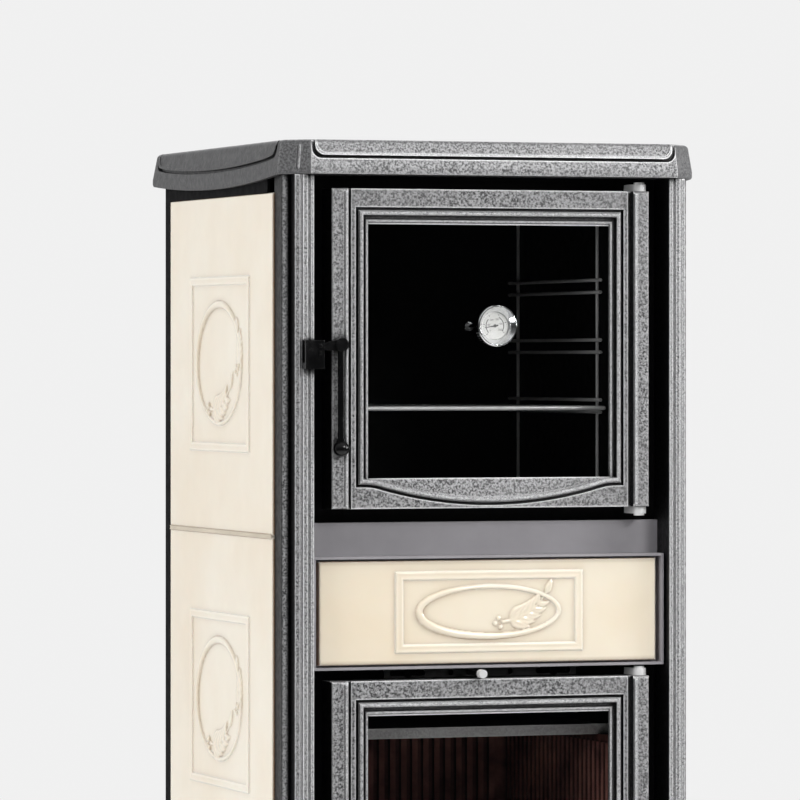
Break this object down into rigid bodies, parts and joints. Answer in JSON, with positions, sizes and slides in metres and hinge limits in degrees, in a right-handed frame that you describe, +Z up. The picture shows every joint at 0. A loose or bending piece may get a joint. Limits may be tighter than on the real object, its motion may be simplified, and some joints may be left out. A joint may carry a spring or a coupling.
{
  "type": "cast iron range cooker",
  "caption": "Tall wood-burning range cooker with an oven above the firebox, glazed cast iron doors, tiled sides and a rear flue collar.",
  "frame": {"origin": "on the floor, under the middle of the cooker's outer box", "axes": "+X to the right seen from the front, +Y to the back, +Z up; the doors face -Y"},
  "size_m": [0.5, 0.524, 1.26],
  "materials": {
    "cast_iron": "fine sand-cast grain, dark grey, matt",
    "bright_iron": "worn cast iron, lit from the fire",
    "lining_iron": "scorched cast iron, dark red-brown, matt",
    "black_steel": "heat-proof black paint, low sheen",
    "grey_steel": "heat-proof grey paint, satin",
    "black_enamel": "black vitreous enamel, glossy, inside the oven",
    "black_handle": "black enamel, semi-gloss",
    "steel": "plain steel wire and bar, satin",
    "chrome": "bright plated",
    "ceramic_tile": "cream glaze, glossy",
    "door_glass": "clear heat-proof glass",
    "lens_glass": "clear lens",
    "rope_seal": "woven glass rope, matt",
    "dial_white": "white enamel, matt",
    "needle_black": "black, matt"
  },
  "bodies": {
    "range_body": {"top_plate": "cast_iron", "flue_blanking_disc": "cast_iron", "front_column_left": "cast_iron", "front_column_right": "cast_iron", "rear_corner_left": "black_steel", "rear_corner_right": "black_steel", "side_tile_left_lower": "ceramic_tile", "side_tile_left_middle": "ceramic_tile", "side_tile_left_upper": "ceramic_tile", "side_tile_right_lower": "ceramic_tile", "side_tile_right_middle": "ceramic_tile", "side_tile_right_upper": "ceramic_tile", "strip_tile_upper": "ceramic_tile", "strip_tile_lower": "ceramic_tile", "strip_tile_carriers": "grey_steel", "front_frame": "black_steel", "band_panel": "grey_steel", "casing_side_left": "black_steel", "casing_side_right": "black_steel", "casing_back": "black_steel", "casing_top": "black_steel", "base_frame": "cast_iron", "levelling_feet": "black_steel", "rear_heat_shield": "black_steel", "flue_collar": "cast_iron", "oven_liner": "black_enamel", "oven_side_racks": "steel", "firebox_floor": "lining_iron", "firebox_lining_left": "lining_iron", "firebox_lining_right": "lining_iron", "firebox_lining_back": "lining_iron", "smoke_baffle": "bright_iron", "fire_grate": "cast_iron", "log_guard": "cast_iron", "ash_floor": "black_steel", "hinge_brackets": "steel", "latch_keepers": "black_handle"},
    "oven_door": {"oven_door_casting": "cast_iron", "oven_door_glass": "door_glass", "oven_door_gasket": "rope_seal", "oven_glass_clips": "steel", "thermometer_case": "chrome", "thermometer_nut": "chrome", "thermometer_dial": "dial_white", "thermometer_lens": "lens_glass"},
    "fire_door": {"fire_door_casting": "cast_iron", "fire_door_glass": "door_glass", "fire_door_gasket": "rope_seal", "fire_glass_clips": "steel"},
    "oven_handle": {"oven_handle": "black_handle", "oven_handle_ball": "black_handle"},
    "fire_handle": {"fire_handle": "black_handle", "fire_handle_ball": "black_handle"},
    "thermometer_needle": {"thermometer_needle": "needle_black"},
    "oven_shelf": {"oven_shelf": "steel"},
    "ash_drawer": {"ash_drawer": "cast_iron", "ash_drawer_knob": "black_handle"},
    "secondary_air_slider": {"secondary_air_slider": "black_handle"},
    "primary_air_slider": {"primary_air_slider": "black_handle"}
  },
  "joints": [
    {"name": "oven_door_hinge", "type": "hinge", "parent": "range_body", "child": "oven_door", "pos_m": [0.184, -0.226, 1.026], "axis": [0, 0, 1], "range_deg": [0, 105]},
    {"name": "fire_door_hinge", "type": "hinge", "parent": "range_body", "child": "fire_door", "pos_m": [0.184, -0.226, 0.474], "axis": [0, 0, 1], "range_deg": [0, 105]},
    {"name": "oven_handle_turn", "type": "hinge", "parent": "oven_door", "child": "oven_handle", "pos_m": [-0.184, -0.23, 1.031], "axis": [0, -1, 0], "range_deg": [0, 60]},
    {"name": "fire_handle_turn", "type": "hinge", "parent": "fire_door", "child": "fire_handle", "pos_m": [-0.184, -0.23, 0.479], "axis": [0, -1, 0], "range_deg": [0, 60]},
    {"name": "thermometer_needle_turn", "type": "hinge", "parent": "oven_door", "child": "thermometer_needle", "pos_m": [0.0062, -0.237, 1.0525], "axis": [0, 1, 0], "range_deg": [-25, 235], "stiffness_Nm_per_rad": 0.002},
    {"name": "oven_shelf_slide", "type": "slide", "parent": "range_body", "child": "oven_shelf", "axis": [0, -1, 0], "range_m": [0, 0.03]},
    {"name": "ash_drawer_slide", "type": "slide", "parent": "range_body", "child": "ash_drawer", "axis": [0, -1, 0], "range_m": [0, 0.3]},
    {"name": "secondary_air_slide", "type": "slide", "parent": "range_body", "child": "secondary_air_slider", "axis": [1, 0, 0], "range_m": [-0.018, 0.018]},
    {"name": "primary_air_slide", "type": "slide", "parent": "range_body", "child": "primary_air_slider", "axis": [1, 0, 0], "range_m": [-0.018, 0.018]}
  ]
}
